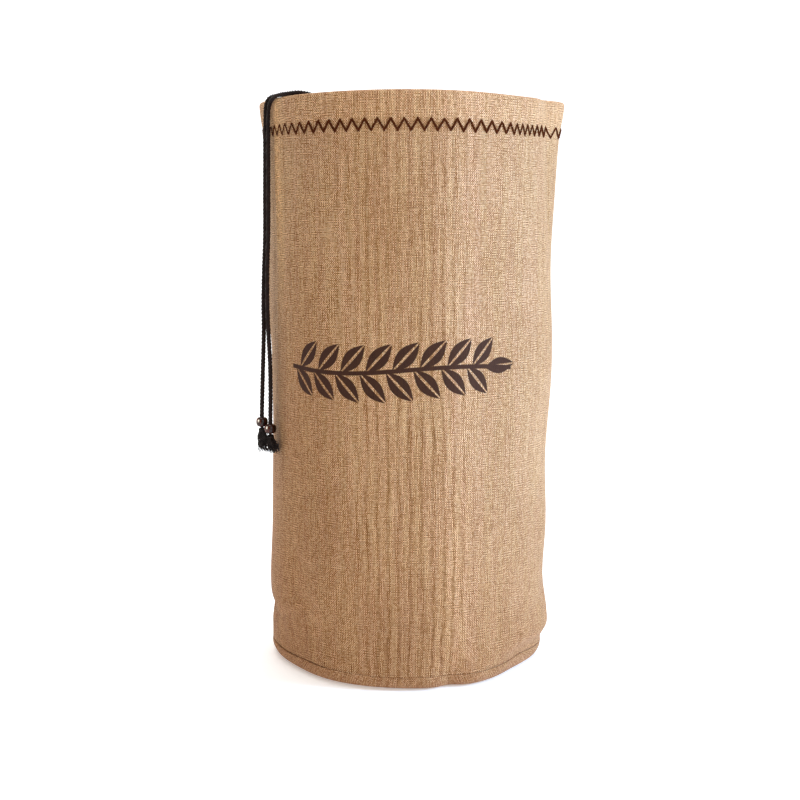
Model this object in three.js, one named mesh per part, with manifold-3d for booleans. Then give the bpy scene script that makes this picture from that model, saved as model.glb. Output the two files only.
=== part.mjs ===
// Tall round-bottomed storage bag of coarse tan cloth, standing open, with the two
// ends of its drawstring hung over the left of the rim. Millimetres, +Z up, the
// front faces -Y. Angles run round the bag from the front, positive to the right.
import * as THREE from "three";
import { mergeVertices } from "three/addons/utils/BufferGeometryUtils.js";
import ManifoldModule from "manifold-3d";

// Driving sizes
const HEIGHT = 570; // floor to the folded rim
const CLOTH = 1.6; // thickness of one layer of cloth
const GAP = 0.3; // space between pieces that meet
const CORD = 4; // drawstring diameter
const BASE_RISE = 15.5; // height of the seam that joins the base to the wall
const FOOT_BLEND = 26; // height over which the wall leaves the base outline
const FOOT_INSET = 0.3; // the foot of the wall behind the edge of the base
const ALLOWANCE = 9; // cloth turned in at every seam
const ALLOWANCE_LOW = 46; // the side seams' turned-in cloth starts here
const ALLOWANCE_HIGH = 505; // and ends here, below the hem
const WALL_STEPS = 15; // rows up the wall of one panel
const PANEL_STEPS = 28; // columns round one panel
const SEAM_MARGIN = 1.8; // degrees from the last full column to the side seam
const EAR_SPREAD = 9; // degrees, width of the flared corner at a side seam
const EAR_NECK = 21; // degrees from the corner to the hollow beside it
const NECK_LEFT = 0.2; // depth of that hollow as a share of the left corner's flare
const NECK_RIGHT = 0.65; // and of the right corner's
const BASE_COLUMNS = 56;
const CORD_DROP = 16; // drawstring below the rim, inside the hem
const CORD_INWARD = 3.6; // drawstring behind the middle of the outer layer
const HEM_CORD_FROM = -16.56; // angle of the hem length's end at the right strand
const HEM_CORD_TO = 322.19; // and at the left strand
const SLIT_COLUMN = 10; // the column of the front panel whose hem is left open
const BEAD_BORE = 4.7;
const BEAD_HALF = 4.7; // half the height of a bead
const LOCKS = 8; // frayed locks in one tuft, one in the middle of a ring
const LOCK_ROOT = 0.8; // half thickness of a lock at the knot
const LOCK_TIP = 0.5;
const LOCK_SPREAD = 5.2; // how far the locks spread at their tips

// Reach of the wall from the upright axis, by height. The ear columns are the
// extra flare of the two corners at the side seams.
const SECTIONS = [
  { z: 14, left: 146, right: 136, front: 142, back: 141.5, earLeft: 0, earRight: 0 },
  { z: 36, left: 146.6, right: 142.4, front: 144, back: 143.5, earLeft: 0, earRight: 0 },
  { z: 84, left: 147.8, right: 137, front: 145, back: 144.5, earLeft: 0, earRight: 0 },
  { z: 140, left: 145.6, right: 139.3, front: 145.5, back: 145, earLeft: 0, earRight: 0 },
  { z: 215, left: 143.9, right: 138.6, front: 145.5, back: 145, earLeft: 0, earRight: 0 },
  { z: 305, left: 144, right: 144, front: 146, back: 145.5, earLeft: 0, earRight: 0 },
  { z: 400, left: 144.4, right: 142, front: 146, back: 146, earLeft: 0, earRight: 0 },
  { z: 480, left: 145.8, right: 143, front: 146.5, back: 146.5, earLeft: 0.6, earRight: 2.5 },
  { z: 530, left: 147.4, right: 143.6, front: 147, back: 147, earLeft: 2.6, earRight: 5.4 },
  { z: 570, left: 148.8, right: 145, front: 147.5, back: 147.5, earLeft: 6, earRight: 10 },
];

// Soft hollows in the wall: place, half width in degrees, half height, depth.
// A negative depth is a soft ridge.
const HOLLOWS = [
  { angle: -84, z: 53, wide: 10, tall: 9, depth: 4.5 },
  { angle: -52, z: 100, wide: 9, tall: 30, depth: 3 },
  { angle: -57, z: 36, wide: 22, tall: 26, depth: 5 },
  { angle: -36, z: 58, wide: 12, tall: 14, depth: 2.5 },
  { angle: 62, z: 150, wide: 10, tall: 40, depth: 2.5 },
  { angle: 35, z: 48, wide: 14, tall: 16, depth: 2 },
  { angle: 13, z: 300, wide: 9, tall: 210, depth: -1.6 },
  { angle: 36, z: 300, wide: 15, tall: 230, depth: 4.4 },
  { angle: -37, z: 300, wide: 9, tall: 150, depth: -1.3 },
  { angle: -22, z: 440, wide: 10, tall: 70, depth: 1.4 },
  { angle: 32, z: 560, wide: 13, tall: 70, depth: 1.6 },
  { angle: 128, z: 60, wide: 14, tall: 20, depth: 3 },
  { angle: -140, z: 96, wide: 12, tall: 34, depth: 3 },
  { angle: 176, z: 320, wide: 20, tall: 120, depth: 2.5 },
];

// Outline of the round base, and the places where its edge is drawn in.
const BASE_REACH = { left: 147.6, right: 136.5, front: 142.6, back: 142.8 };
const BASE_TUCKS = [
  { angle: -61, wide: 21, depth: 7 },
  { angle: 16, wide: 5.5, depth: 6.5 },
  { angle: 56, wide: 21, depth: 10 },
];

// Section of the base from its middle: distance in from the edge and height.
const BASE_SECTION = [
  { inset: 16, z: 0 },
  { inset: 9, z: 0.9 },
  { inset: 5, z: 3.2 },
  { inset: 2.4, z: 6.6 },
  { inset: 0.7, z: 10.4 },
  { inset: 0, z: 13.2 },
  { inset: 0.8, z: 14.9 },
  { inset: 3, z: 15.5 },
  { inset: 10, z: 15.5 },
  { inset: 10, z: 13.9 },
  { inset: 2.6, z: 13.9 },
  { inset: 1.7, z: 12.9 },
  { inset: 2.3, z: 10.8 },
  { inset: 3.9, z: 7.3 },
  { inset: 6.2, z: 4.4 },
  { inset: 9.6, z: 2.5 },
  { inset: 16, z: 1.6 },
];

// The cloth turned in at the foot of a panel: inward from the wall, rise above the seam.
const FOOT_TURN = [
  { inward: 9, rise: 0.2 },
  { inward: 4, rise: 0.1 },
  { inward: 0.9, rise: 0.5 },
];

// The hem from the rim down the inside: inward from the wall, drop below the rim.
const HEM = [
  { inward: 0, drop: 6 },
  { inward: 0.4, drop: 3 },
  { inward: 1.8, drop: 1.2 },
  { inward: 3.5, drop: 0.8 },
  { inward: 5.2, drop: 1.3 },
  { inward: 6.6, drop: 3.6 },
  { inward: 7, drop: 8.5 },
  { inward: 7, drop: 22.5 },
  { inward: 4.6, drop: 28 },
  { inward: 2, drop: 33.5 },
  { inward: 2, drop: 42 },
];
const SLIT_ROW = 6; // the open part of the hem starts at this row of HEM

// Routes of the two free strands, from inside the hem, out of its slit, over the rim and down.
const STRAND_RIGHT = [
  { x: -41.3, y: -136.8, z: 556.4 },
  { x: -49.4, y: -134.1, z: 556.6 },
  { x: -56.3, y: -131.3, z: 556.8 },
  { x: -60.3, y: -128.1, z: 557.0 },
  { x: -63.9, y: -124.2, z: 557.4 },
  { x: -67.2, y: -120.2, z: 558.0 },
  { x: -70.7, y: -116.5, z: 558.8 },
  { x: -76.8, y: -111.8, z: 561.2 },
  { x: -85.5, y: -105.5, z: 564.8 },
  { x: -93.0, y: -99.7, z: 568.2 },
  { x: -99.7, y: -94.6, z: 571.0 },
  { x: -106.9, y: -89.7, z: 572.6 },
  { x: -113.0, y: -85.2, z: 573.0 },
  { x: -118.4, y: -80.4, z: 572.7 },
  { x: -122.6, y: -76.0, z: 572.7 },
  { x: -126.2, y: -71.7, z: 572.6 },
  { x: -129.4, y: -67.5, z: 572.2 },
  { x: -133.5, y: -62.3, z: 571.1 },
  { x: -137.2, y: -58.2, z: 568.4 },
  { x: -139.5, y: -55.8, z: 564.5 },
  { x: -140.7, y: -54.6, z: 559.0 },
  { x: -141.4, y: -54.1, z: 545 },
  { x: -141.7, y: -54, z: 520 },
  { x: -142, y: -54, z: 480 },
  { x: -142.6, y: -54, z: 435 },
  { x: -143.8, y: -54, z: 402 },
  { x: -144.1, y: -54, z: 375 },
  { x: -143.7, y: -54, z: 350 },
  { x: -142.8, y: -54, z: 329 },
  { x: -142, y: -54, z: 310 },
  { x: -141.8, y: -54, z: 282 },
  { x: -142.1, y: -54, z: 262 },
  { x: -142.3, y: -54, z: 250 },
  { x: -142.3, y: -54, z: 239.3 },
];
const STRAND_LEFT = [
  { x: -87.3, y: -113.4, z: 551.4 },
  { x: -80.4, y: -118.3, z: 551.2 },
  { x: -74.0, y: -122.2, z: 551.0 },
  { x: -69.1, y: -123.5, z: 550.9 },
  { x: -58.6, y: -124.4, z: 550.7 },
  { x: -53.6, y: -124.8, z: 550.7 },
  { x: -46.5, y: -126.0, z: 550.8 },
  { x: -41.6, y: -127.0, z: 552.0 },
  { x: -38.3, y: -127.6, z: 555.1 },
  { x: -37.2, y: -127.6, z: 559.3 },
  { x: -38.4, y: -126.9, z: 563.4 },
  { x: -41.9, y: -125.2, z: 566.5 },
  { x: -46.9, y: -122.8, z: 567.9 },
  { x: -53.0, y: -119.9, z: 568.0 },
  { x: -61.6, y: -115.7, z: 567.8 },
  { x: -71.6, y: -110.0, z: 567.8 },
  { x: -84.5, y: -100.7, z: 567.9 },
  { x: -94.9, y: -91.6, z: 568.6 },
  { x: -102.6, y: -84.6, z: 570.4 },
  { x: -108.4, y: -80.2, z: 572.0 },
  { x: -113.3, y: -76.4, z: 572.7 },
  { x: -117.8, y: -72.8, z: 572.7 },
  { x: -124.8, y: -65.2, z: 572.7 },
  { x: -128.0, y: -61.2, z: 572.7 },
  { x: -132.5, y: -54.9, z: 572.6 },
  { x: -136.9, y: -49.8, z: 572.2 },
  { x: -140.9, y: -45.7, z: 570.7 },
  { x: -143.3, y: -43.9, z: 567.4 },
  { x: -144.5, y: -43.2, z: 563.0 },
  { x: -145.1, y: -44.2, z: 550 },
  { x: -145.3, y: -45.4, z: 525 },
  { x: -145.8, y: -46, z: 480 },
  { x: -146.4, y: -46, z: 432 },
  { x: -147.8, y: -46, z: 400 },
  { x: -148.6, y: -46, z: 372 },
  { x: -148.6, y: -46, z: 345 },
  { x: -149.4, y: -46, z: 316 },
  { x: -150.6, y: -46, z: 285 },
  { x: -151.4, y: -46, z: 258 },
  { x: -151.4, y: -46, z: 245.3 },
];

// Middle of each bead, with the lean and length of the frayed end below it.
const END_LEFT = { x: -151.4, y: -46, z: 250, leanX: 3, leanY: -2, tuft: 22 };
const END_RIGHT = { x: -142.3, y: -54, z: 244, leanX: 4, leanY: -7, tuft: 15 };

// Sections of a bead and of the knot under it: reach from the middle and rise.
const BEAD_SECTION = [
  { reach: BEAD_BORE / 2, rise: -BEAD_HALF },
  { reach: 3.6, rise: -BEAD_HALF },
  { reach: 5.2, rise: -3.1 },
  { reach: 5.9, rise: 0 },
  { reach: 5.2, rise: 3.1 },
  { reach: 3.6, rise: BEAD_HALF },
  { reach: BEAD_BORE / 2, rise: BEAD_HALF },
];
const KNOT_SECTION = [
  { reach: 2.3, rise: 0 },
  { reach: 3.3, rise: -1.4 },
  { reach: 3.5, rise: -3.6 },
  { reach: 2.7, rise: -5.6 },
];

const finish = (name, color, roughness) => {
  return new THREE.MeshStandardMaterial({ name, color, roughness, metalness: 0 });
};
const tan = finish("tan_cloth", 0xb99f74, 0.95);
const tanBase = finish("tan_base", 0xb0966c, 0.95);
const darkCord = finish("dark_cord", 0x2a2220, 0.85);
const amber = finish("amber_bead", 0x6b3a17, 0.3);

const radians = THREE.MathUtils.degToRad;
const bell = (offset, spread) => Math.exp(-((offset / spread) ** 2));
const turn = (a, b) => ((((a - b + 180) % 360) + 360) % 360) - 180;

// Reads a table of sections at a height with smooth steps between its rows.
function sectionAt(z) {
  const last = SECTIONS.length - 1;
  let k = 0;
  while (k < last - 1 && z > SECTIONS[k + 1].z) {
    k += 1;
  }
  const lower = SECTIONS[k];
  const upper = SECTIONS[k + 1];
  const before = SECTIONS[Math.max(k - 1, 0)];
  const after = SECTIONS[Math.min(k + 2, last)];
  const span = upper.z - lower.z;
  const t = THREE.MathUtils.clamp((z - lower.z) / span, 0, 1);
  const row = {};
  for (const name of Object.keys(lower)) {
    const leave = ((upper[name] - before[name]) / (upper.z - before.z)) * span;
    const arrive = ((after[name] - lower[name]) / (after.z - lower.z)) * span;
    const a = 2 * t ** 3 - 3 * t ** 2 + 1;
    const b = t ** 3 - 2 * t ** 2 + t;
    const c = 3 * t ** 2 - 2 * t ** 3;
    const d = t ** 3 - t ** 2;
    row[name] = a * lower[name] + b * leave + c * upper[name] + d * arrive;
  }
  return row;
}

// Blends the four reaches of a section round the bag.
function reachOf(row, angle) {
  const side = Math.sin(radians(angle)) ** 2;
  const across = Math.sin(radians(angle)) < 0 ? row.left : row.right;
  const along = Math.cos(radians(angle)) > 0 ? row.front : row.back;
  return along * (1 - side) + across * side;
}

function baseReach(angle) {
  let reach = reachOf(BASE_REACH, angle);
  for (const tuck of BASE_TUCKS) {
    reach -= tuck.depth * bell(turn(angle, tuck.angle), tuck.wide);
  }
  return reach;
}

// Outer face of the wall at an angle and height.
function wallReach(angle, z) {
  const row = sectionAt(z);
  const left = Math.abs(turn(angle, -90));
  const right = Math.abs(turn(angle, 90));
  const flare = (d, neck) => bell(d, EAR_SPREAD) - neck * bell(d - EAR_NECK, EAR_SPREAD);
  let reach = reachOf(row, angle);
  reach += row.earLeft * flare(left, NECK_LEFT);
  reach += row.earRight * flare(right, NECK_RIGHT);
  for (const hollow of HOLLOWS) {
    reach -= hollow.depth * bell(turn(angle, hollow.angle), hollow.wide) * bell(z - hollow.z, hollow.tall);
  }
  const foot = THREE.MathUtils.smoothstep(z, BASE_RISE, BASE_RISE + FOOT_BLEND);
  return THREE.MathUtils.lerp(baseReach(angle) - FOOT_INSET, reach, foot);
}

function wallPoint(angle, z) {
  const reach = wallReach(angle, z);
  return new THREE.Vector3(reach * Math.sin(radians(angle)), -reach * Math.cos(radians(angle)), z);
}

// A point inside the wall, measured inward from the middle of the outer layer.
function layerPoint(angle, z, inward) {
  const ahead = wallPoint(angle + 0.5, z);
  const behind = wallPoint(angle - 0.5, z);
  const outward = new THREE.Vector3(ahead.y - behind.y, behind.x - ahead.x, 0).normalize();
  return wallPoint(angle, z).addScaledVector(outward, -(CLOTH / 2 + inward));
}

// Rows of a panel from the turned-in foot, up the wall and down the hem.
function panelRows() {
  const rows = [];
  const footZ = BASE_RISE + GAP + CLOTH / 2;
  for (const step of FOOT_TURN) {
    rows.push({ z: footZ + step.rise, inward: step.inward });
  }
  const low = footZ + 2.6;
  const high = HEIGHT - HEM[0].drop;
  for (let k = 0; k < WALL_STEPS; k += 1) {
    const t = k / WALL_STEPS;
    const eased = t - (0.62 * Math.sin(2 * Math.PI * t)) / (2 * Math.PI);
    rows.push({ z: THREE.MathUtils.lerp(low, high, eased), inward: 0 });
  }
  for (const step of HEM) {
    rows.push({ z: HEIGHT - step.drop, inward: step.inward });
  }
  return rows;
}

// Angles of a panel's columns, closer together towards the side seams.
function panelAngles(middle) {
  const angles = [];
  for (let k = 0; k <= PANEL_STEPS; k += 1) {
    const u = (2 * k) / PANEL_STEPS - 1;
    angles.push(middle + (90 - SEAM_MARGIN) * (1.25 * u - 0.25 * u ** 3));
  }
  return angles;
}

// The edge of a panel at a side seam: turned in along the wall, flat at hem and foot.
function seamEdge(angle, row, facing) {
  const seam = layerPoint(angle, row.z, row.inward);
  const inside = new THREE.Vector3(-Math.sign(seam.x), 0, 0);
  const turned = row.inward === 0 && row.z > ALLOWANCE_LOW && row.z < ALLOWANCE_HIGH;
  const corner = seam.clone();
  const end = seam.clone();
  if (turned) {
    corner.addScaledVector(inside, 0.9);
    corner.y = facing * (GAP / 2 + CLOTH / 2 + 0.25);
    end.addScaledVector(inside, ALLOWANCE);
    end.y = facing * (GAP / 2 + CLOTH / 2);
  } else {
    corner.y = facing * 2.2;
    end.y = facing * (GAP / 2);
  }
  return { corner, end };
}

function panelGrid(middle) {
  const facing = middle === 0 ? -1 : 1;
  const angles = panelAngles(middle);
  return panelRows().map((row) => {
    const first = seamEdge(middle - 90, row, facing);
    const last = seamEdge(middle + 90, row, facing);
    const run = angles.map((angle) => layerPoint(angle, row.z, row.inward));
    return [first.end, first.corner, ...run, last.corner, last.end];
  });
}

// Gives a grid of points the thickness of the cloth; open cells are left out.
function clothSolid(grid, isOpen) {
  const rows = grid.length;
  const columns = grid[0].length;
  const points = [];
  for (let side = 1; side >= -1; side -= 2) {
    for (let i = 0; i < rows; i += 1) {
      for (let j = 0; j < columns; j += 1) {
        const east = grid[i][Math.min(j + 1, columns - 1)];
        const west = grid[i][Math.max(j - 1, 0)];
        const north = grid[Math.min(i + 1, rows - 1)][j];
        const south = grid[Math.max(i - 1, 0)][j];
        const across = new THREE.Vector3().subVectors(east, west);
        const along = new THREE.Vector3().subVectors(north, south);
        const normal = across.cross(along).normalize();
        points.push(grid[i][j].clone().addScaledVector(normal, (side * CLOTH) / 2));
      }
    }
  }
  const back = rows * columns;
  const faces = [];
  const kept = (i, j) => i >= 0 && j >= 0 && i < rows - 1 && j < columns - 1 && !isOpen(i, j);
  const quad = (a, b, c, d) => faces.push(a, b, c, a, c, d);
  for (let i = 0; i < rows - 1; i += 1) {
    for (let j = 0; j < columns - 1; j += 1) {
      if (!kept(i, j)) {
        continue;
      }
      const a = i * columns + j;
      const b = a + 1;
      const c = b + columns;
      const d = a + columns;
      quad(a, b, c, d);
      quad(back + d, back + c, back + b, back + a);
      const rim = [[a, b, i - 1, j], [b, c, i, j + 1], [c, d, i + 1, j], [d, a, i, j - 1]];
      for (const [from, to, nextRow, nextColumn] of rim) {
        if (!kept(nextRow, nextColumn)) {
          quad(to, from, back + from, back + to);
        }
      }
    }
  }
  const shape = new THREE.BufferGeometry();
  shape.setAttribute("position", new THREE.Float32BufferAttribute(points.flatMap((p) => p.toArray()), 3));
  shape.setIndex(faces);
  shape.computeVertexNormals();
  return shape;
}

// The round base: a shallow dish whose edge turns up to the seam and then in.
function baseSolid() {
  const edge = BASE_REACH.front;
  const section = [new THREE.Vector2(0, 0)];
  for (const step of BASE_SECTION) {
    section.push(new THREE.Vector2(edge - step.inset, step.z));
  }
  section.push(new THREE.Vector2(0, CLOTH));
  const shape = new THREE.LatheGeometry(section, BASE_COLUMNS);
  shape.rotateX(Math.PI / 2);
  const place = shape.getAttribute("position");
  for (let k = 0; k < place.count; k += 1) {
    const angle = THREE.MathUtils.radToDeg(Math.atan2(place.getX(k), -place.getY(k)));
    const share = baseReach(angle) / edge;
    place.setXY(k, place.getX(k) * share, place.getY(k) * share);
  }
  shape.computeVertexNormals();
  return shape;
}

// A path whose points are used as they stand, one for each step of a tube.
class PointPath extends THREE.Curve {
  constructor(points) {
    super();
    this.points = points;
  }
  getPoint(t) {
    const place = t * (this.points.length - 1);
    const k = Math.min(Math.floor(place), this.points.length - 2);
    return this.points[k].clone().lerp(this.points[k + 1], place - k);
  }
  getPointAt(u) {
    return this.getPoint(u);
  }
  getTangentAt(u) {
    const step = 1 / (this.points.length - 1);
    const ahead = this.getPoint(Math.min(u + step, 1));
    return ahead.sub(this.getPoint(Math.max(u - step, 0))).normalize();
  }
}

function roundSection(diameter, sides) {
  const outline = [];
  for (let k = 0; k < sides; k += 1) {
    const angle = (2 * Math.PI * (k + 0.5)) / sides;
    outline.push(new THREE.Vector2((diameter / 2) * Math.cos(angle), (diameter / 2) * Math.sin(angle)));
  }
  return new THREE.Shape(outline);
}

const toPoints = (route) => route.map((stop) => new THREE.Vector3(stop.x, stop.y, stop.z));

function cordTube(points) {
  const extrudePath = new PointPath(points);
  const steps = points.length - 1;
  return new THREE.ExtrudeGeometry(roundSection(CORD, 8), { steps, extrudePath, bevelEnabled: false });
}

// The drawstring inside the hem, from one side of the slit round to the other.
function hemCord() {
  const inSpan = (angle) => angle > HEM_CORD_FROM + 1.5 && angle < HEM_CORD_TO - 1.5;
  const stops = [...panelAngles(0), 90, ...panelAngles(180), 270, ...panelAngles(360)].filter(inSpan);
  const points = [HEM_CORD_FROM, ...stops, HEM_CORD_TO].map((angle) => {
    const lift = 2.4 * bell(angle - HEM_CORD_FROM, 12) - 2.6 * bell(angle - HEM_CORD_TO, 12);
    return layerPoint(angle, HEIGHT - CORD_DROP + lift, CORD_INWARD);
  });
  return cordTube(points);
}

// A round bead with a bore for the cord.
function beadSolid(place) {
  const section = BEAD_SECTION.map((step) => new THREE.Vector2(step.reach, step.rise));
  section.push(section[0].clone());
  const shape = new THREE.LatheGeometry(section, 20);
  shape.rotateX(Math.PI / 2);
  shape.translate(place.x, place.y, place.z);
  return shape;
}

const { Manifold, Mesh: SolidMesh } = await ManifoldModule().then((library) => {
  library.setup();
  return library;
});

function toSolid(shape) {
  const bare = new THREE.BufferGeometry();
  bare.setAttribute("position", shape.getAttribute("position"));
  bare.setIndex(shape.getIndex());
  const joined = mergeVertices(bare, 1e-4);
  const vertProperties = new Float32Array(joined.getAttribute("position").array);
  const triVerts = new Uint32Array(joined.getIndex().array);
  return new Manifold(new SolidMesh({ numProp: 3, vertProperties, triVerts }));
}

function fromSolid(solid) {
  const mesh = solid.getMesh();
  const shape = new THREE.BufferGeometry();
  shape.setAttribute("position", new THREE.BufferAttribute(mesh.vertProperties.slice(), 3));
  shape.setIndex(Array.from(mesh.triVerts));
  shape.computeVertexNormals();
  return shape;
}

// One frayed lock: three sides, three steps, thinner towards the tip.
function lockSolid(root, middle, tip) {
  const stops = [root, root.clone().lerp(middle, 0.55), middle.clone().lerp(tip, 0.35), tip];
  const points = [];
  stops.forEach((stop, k) => {
    const thick = THREE.MathUtils.lerp(LOCK_ROOT, LOCK_TIP, k / (stops.length - 1));
    for (let side = 0; side < 3; side += 1) {
      const angle = (2 * Math.PI * side) / 3;
      points.push(stop.x + thick * Math.cos(angle), stop.y + thick * Math.sin(angle), stop.z);
    }
  });
  const faces = [0, 1, 2];
  for (let k = 0; k < stops.length - 1; k += 1) {
    for (let side = 0; side < 3; side += 1) {
      const a = 3 * k + side;
      const b = 3 * k + ((side + 1) % 3);
      faces.push(b, a, a + 3, b, a + 3, b + 3);
    }
  }
  const end = 3 * (stops.length - 1);
  faces.push(end + 2, end + 1, end);
  const shape = new THREE.BufferGeometry();
  shape.setAttribute("position", new THREE.Float32BufferAttribute(points, 3));
  shape.setIndex(faces);
  return toSolid(shape);
}

// The frayed end below a bead: a knot with its locks.
function tuftSolid(end) {
  const section = [new THREE.Vector2(0, KNOT_SECTION.at(-1).rise)];
  for (const step of [...KNOT_SECTION].reverse()) {
    section.push(new THREE.Vector2(step.reach, step.rise));
  }
  section.push(new THREE.Vector2(0, KNOT_SECTION[0].rise));
  const knot = new THREE.LatheGeometry(section, 10);
  knot.rotateX(Math.PI / 2);
  const top = end.z - BEAD_HALF - GAP;
  let tuft = toSolid(knot).translate([end.x, end.y, top]);
  for (let k = 0; k < LOCKS; k += 1) {
    const angle = (2 * Math.PI * k) / (LOCKS - 1) + 0.3;
    const share = k === 0 ? 0 : 0.9 + 0.1 * Math.cos(3 * k);
    const length = end.tuft * (0.86 + 0.14 * Math.sin(4.1 * k + end.z));
    const aside = new THREE.Vector3(Math.cos(angle), Math.sin(angle), 0);
    const root = new THREE.Vector3(end.x, end.y, top - 4).addScaledVector(aside, 2.1 * share);
    const middle = root.clone().addScaledVector(aside, 1.6 * share);
    middle.add(new THREE.Vector3(end.leanX * 0.35, end.leanY * 0.35, -length * 0.45));
    const tip = root.clone().addScaledVector(aside, (LOCK_SPREAD - 2.1) * share);
    tip.add(new THREE.Vector3(end.leanX, end.leanY, -length));
    tuft = tuft.add(lockSolid(root, middle, tip));
  }
  return fromSolid(tuft);
}

const bag = new THREE.Group();
bag.name = "drawstring_bag";

function addPiece(name, shape, material) {
  const piece = new THREE.Mesh(shape, material);
  piece.name = name;
  bag.add(piece);
}

const slitCell = (i, j) => i === FOOT_TURN.length + WALL_STEPS + SLIT_ROW && j === SLIT_COLUMN + 2;
addPiece("panel_front", clothSolid(panelGrid(0), slitCell), tan);
addPiece("panel_back", clothSolid(panelGrid(180), () => false), tan);
addPiece("base", baseSolid(), tanBase);
addPiece("drawstring_in_hem", hemCord(), darkCord);
addPiece("strand_left", cordTube(toPoints(STRAND_LEFT)), darkCord);
addPiece("strand_right", cordTube(toPoints(STRAND_RIGHT)), darkCord);
addPiece("bead_left", beadSolid(END_LEFT), amber);
addPiece("bead_right", beadSolid(END_RIGHT), amber);
addPiece("tuft_left", tuftSolid(END_LEFT), darkCord);
addPiece("tuft_right", tuftSolid(END_RIGHT), darkCord);

export default bag;
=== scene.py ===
import math

import bpy
import numpy as np
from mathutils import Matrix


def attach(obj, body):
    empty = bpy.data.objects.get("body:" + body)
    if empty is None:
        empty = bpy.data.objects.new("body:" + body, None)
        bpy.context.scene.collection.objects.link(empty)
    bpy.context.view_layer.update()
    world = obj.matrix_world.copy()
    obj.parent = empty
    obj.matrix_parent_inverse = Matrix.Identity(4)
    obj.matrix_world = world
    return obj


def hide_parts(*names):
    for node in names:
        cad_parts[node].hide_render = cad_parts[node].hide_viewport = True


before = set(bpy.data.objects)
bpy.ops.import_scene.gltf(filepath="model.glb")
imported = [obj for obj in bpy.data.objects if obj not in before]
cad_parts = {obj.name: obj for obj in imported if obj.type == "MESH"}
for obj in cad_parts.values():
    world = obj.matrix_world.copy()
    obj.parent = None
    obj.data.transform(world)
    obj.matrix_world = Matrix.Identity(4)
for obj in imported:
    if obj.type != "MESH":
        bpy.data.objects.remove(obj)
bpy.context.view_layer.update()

# The tall drawstring bag of coarse tan cloth. Sizes are in millimetres, angles
# in degrees round the bag from the front, positive to the right.
MM = 0.001
HEIGHT = 570.0
CLOTH = 1.6
GAP = 0.3
CORD = 4.0
MEAN_REACH = 146.0
# Foot of the wall: its height, the rise in which it blends into the wall, and its inset.
BASE_RISE = 15.5
FOOT_BLEND = 26.0
FOOT_INSET = 0.3
# Flared corners of the rim: their spread, the way to the neck beside them, and its share.
EAR_SPREAD = 9.0
EAR_NECK = 21.0
NECK_LEFT = 0.2
NECK_RIGHT = 0.65
# Side seams: margin of a panel, and the heights between which its cloth is turned in.
SEAM_MARGIN = 1.8
ALLOWANCE_LOW = 46.0
ALLOWANCE_HIGH = 505.0
# Beads, drawstring and frayed ends.
BEAD_HALF = 4.7
BEAD_BORE = 4.7
BEAD_WIDEST = 5.9
CORD_TWIST = 11.0
CORD_SLACK = 0.25
CORD_SWELL = 0.6
TUFT_YARNS = 110

# Rows, columns and steps of the meshes.
WALL_ROWS = 212
EDGE_STEP = 0.9
PANEL_COLUMNS = 150
BASE_SECTORS = 288
BASE_EDGE_ROWS = 120
BEAD_SECTORS = 48

# View of the bag: place of the eye, pitch, and focal length in pixels of the picture.
EYE = (-12.3, -1535.0, 449.6)
PITCH = 6.8
FOCAL = 1490.0
FRAME_WIDTH = 800.0
SENSOR = 36.0

# Sections up the wall: height, reach to each side, and flare of the two corners.
SECTION_COLUMNS = ("z", "left", "right", "front", "back", "ear_left", "ear_right")
SECTIONS = (
    (14, 146, 136, 142, 141.5, 0, 0),
    (36, 146.6, 142.4, 144, 143.5, 0, 0),
    (84, 147.8, 137, 145, 144.5, 0, 0),
    (140, 145.6, 139.3, 145.5, 145, 0, 0),
    (215, 143.9, 138.6, 145.5, 145, 0, 0),
    (305, 144, 144, 146, 145.5, 0, 0),
    (400, 144.4, 142, 146, 146, 0, 0),
    (480, 145.8, 143, 146.5, 146.5, 0.6, 2.5),
    (530, 147.4, 143.6, 147, 147, 2.6, 5.4),
    (570, 148.8, 145, 147.5, 147.5, 6, 10),
)

# Soft hollows in the wall: angle, height, half width, half height, depth.
# A negative depth is a ridge.
HOLLOWS = (
    (-84, 53, 10, 9, 4.5),
    (-52, 100, 9, 30, 3),
    (-57, 36, 22, 26, 5),
    (-36, 58, 12, 14, 2.5),
    (62, 150, 10, 40, 2.5),
    (35, 48, 14, 16, 2),
    (13, 300, 9, 210, -1.6),
    (36, 300, 15, 230, 4.4),
    (-37, 300, 9, 150, -1.3),
    (-22, 440, 10, 70, 1.4),
    (32, 560, 13, 70, 1.6),
    (128, 60, 14, 20, 3),
    (-140, 96, 12, 34, 3),
    (176, 320, 20, 120, 2.5),
)

# Creases on the wall: start angle and height, end angle and height, half width, depth.
# A negative depth is a ridge.
CREASES = (
    (-66, 556, -67, 330, 3.0, -0.7),
    (-86, 335, -86, 415, 17.0, -2.6),
    (-70, 540, -70, 300, 2.2, 0.6),
    (-78, 47, -60, 58, 4.0, 1.6),
    (-72, 66, -48, 74, 6.0, -1.1),
    (-60, 128, -40, 104, 7.0, 1.2),
    (-44, 92, -30, 112, 8.0, -0.9),
    (-58, 86, -34, 66, 6.0, 1.0),
    (-50, 40, -22, 34, 6.0, 0.9),
    (48, 176, 72, 150, 7.0, 1.3),
    (52, 150, 76, 132, 8.0, -0.9),
    (58, 62, 84, 74, 7.0, 1.2),
    (30, 44, 62, 36, 6.0, 1.0),
    (70, 545, 72, 430, 6.0, 1.0),
    (8, 40, 26, 30, 5.0, 0.9),
    (110, 70, 150, 52, 7.0, 1.4),
    (-160, 120, -128, 88, 8.0, 1.3),
    (150, 380, 158, 240, 12.0, 1.2),
    (-120, 420, -128, 300, 11.0, 1.0),
)

BASE_COLUMNS = ("left", "right", "front", "back")
BASE_REACH = (147.6, 136.5, 142.6, 142.8)
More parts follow.
